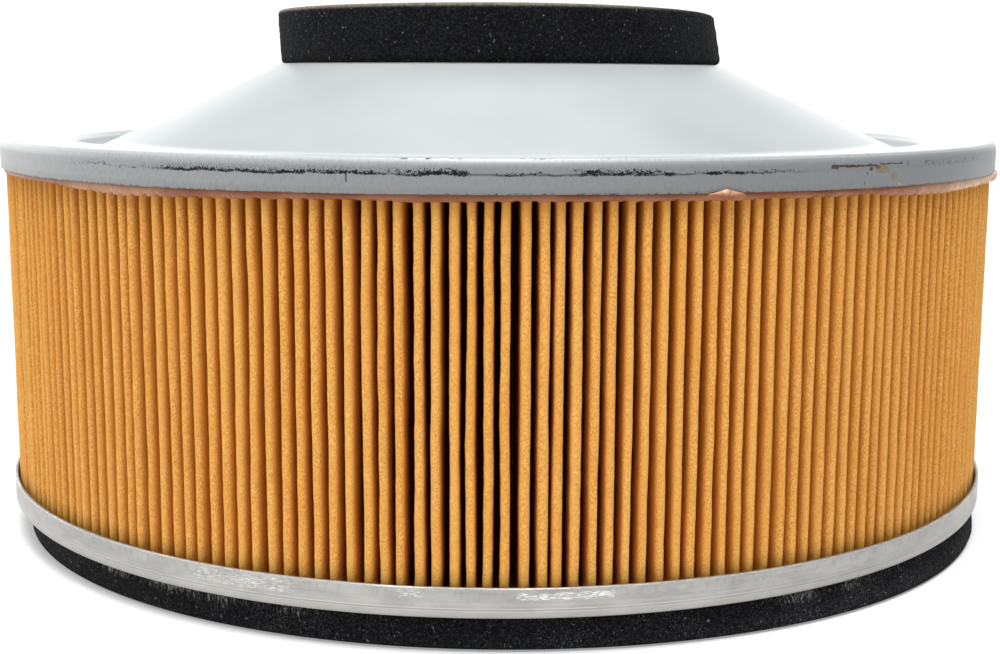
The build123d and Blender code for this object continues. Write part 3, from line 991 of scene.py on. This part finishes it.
# ---- Camera ----
SENSOR = 36.0
LENS = 55.152
CAMERA_BACK = 3.2504 * CAP_RADIUS
CAMERA_UP = 79.06 * MM
TILT, ROLL, YAW = radians(9.25), radians(0.226), radians(0.09)

camera = bpy.data.objects.new("camera", bpy.data.cameras.new("camera"))
bpy.context.scene.collection.objects.link(camera)
camera.data.sensor_width = SENSOR
camera.data.lens = LENS
camera.data.clip_start = 0.01
camera.matrix_world = (
    Matrix.Translation((0, -CAMERA_BACK, CAMERA_UP))
    @ Matrix.Rotation(-YAW, 4, "Z")
    @ Matrix.Rotation(pi / 2 - TILT, 4, "X")
    @ Matrix.Rotation(ROLL, 4, "Z")
)
bpy.context.scene.camera = camera


# ---- Light: two patches of ceiling, and the walls of the room ----
def skylight(name, strength, spread, forward):
    """Soft light from a patch of ceiling spread over an angle, its middle forward of overhead."""
    light = bpy.data.lights.new(name, "SUN")
    light.energy = strength
    light.angle = spread
    lamp = bpy.data.objects.new(name, light)
    bpy.context.scene.collection.objects.link(lamp)
    lamp.rotation_euler = (forward, 0, 0)


skylight("ceiling", 2.75, radians(80), 0.0)
skylight("softbox", 4.8, radians(30), radians(10))

WHITE = rgb(1.0, 1.0, 1.0)
# The wall behind the filter is bright, the left wall less so, and the rest of the room is dim.
BACK_WALL = 2.2
LEFT_WALL = 0.7
ROOM_LIGHT = 0.02
SEEN_WHITE = 1.1  # what the camera sees behind the filter

world = bpy.data.worlds.new("studio")
bpy.context.scene.world = world
world.use_nodes = True
tree = world.node_tree


def world_node(kind, inputs, output=0, **settings):
    made = tree.nodes.new("ShaderNode" + kind)
    for name, value in settings.items():
        setattr(made, name, value)
    for name, value in inputs.items():
        if isinstance(value, bpy.types.NodeSocket):
            tree.links.new(value, made.inputs[name])
        else:
            made.inputs[name].default_value = value
    return made.outputs[output]


def wall(value, start, end, low, high):
    """Light that grows from low to high between two values of one coordinate of the direction."""
    ramp = {"Value": value, "From Min": start, "From Max": end, "To Min": low, "To Max": high}
    return world_node("MapRange", ramp, interpolation_type="SMOOTHSTEP")


def world_math(operation, first, second):
    return world_node("Math", {0: first, 1: second}, operation=operation)


direction = world_node("TexCoord", {}, "Generated")
across, away, up = (world_node("SeparateXYZ", {0: direction}, axis) for axis in "XYZ")
back = wall(away, 0.05, 0.5, 0.0, BACK_WALL)
back = world_math("MULTIPLY", back, wall(up, 0.25, 0.50, 1.0, 0.0))
back = world_math("MULTIPLY", back, wall(across, 0.4, 0.8, 1.0, 0.3))
left = wall(across, -0.95, -0.25, LEFT_WALL, 0.0)
light = world_math("ADD", world_math("ADD", back, ROOM_LIGHT), left)
room = world_node("Background", {"Color": WHITE, "Strength": light})
seen = world_node("Background", {"Color": WHITE, "Strength": SEEN_WHITE})
camera_ray = world_node("LightPath", {}, "Is Camera Ray")
chosen = world_node("MixShader", {0: camera_ray, 1: room, 2: seen})
tree.links.new(chosen, tree.nodes["World Output"].inputs[0])


# ---- Floor ----
FLOOR_REACH = 6.0
FLOOR_DROP = 0.2 * MM
floor_shader = Shader("floor", Roughness=0.7, Base_Color=rgb(0.38, 0.38, 0.38))
floor_shader.finish(Emission_Color=WHITE, Emission_Strength=0.33)
floor_mesh = bpy.data.meshes.new("floor")
floor_corners = [(-1, -1), (1, -1), (1, 1), (-1, 1)]
floor_points = [(FLOOR_REACH * x, FLOOR_REACH * y, 0) for x, y in floor_corners]
floor_mesh.from_pydata(floor_points, [], [(0, 1, 2, 3)])
floor_mesh.materials.append(floor_shader.material)
floor = bpy.data.objects.new("floor", floor_mesh)
floor.location.z = -FLOOR_DROP
bpy.context.scene.collection.objects.link(floor)

bpy.context.scene.view_settings.view_transform = "Standard"
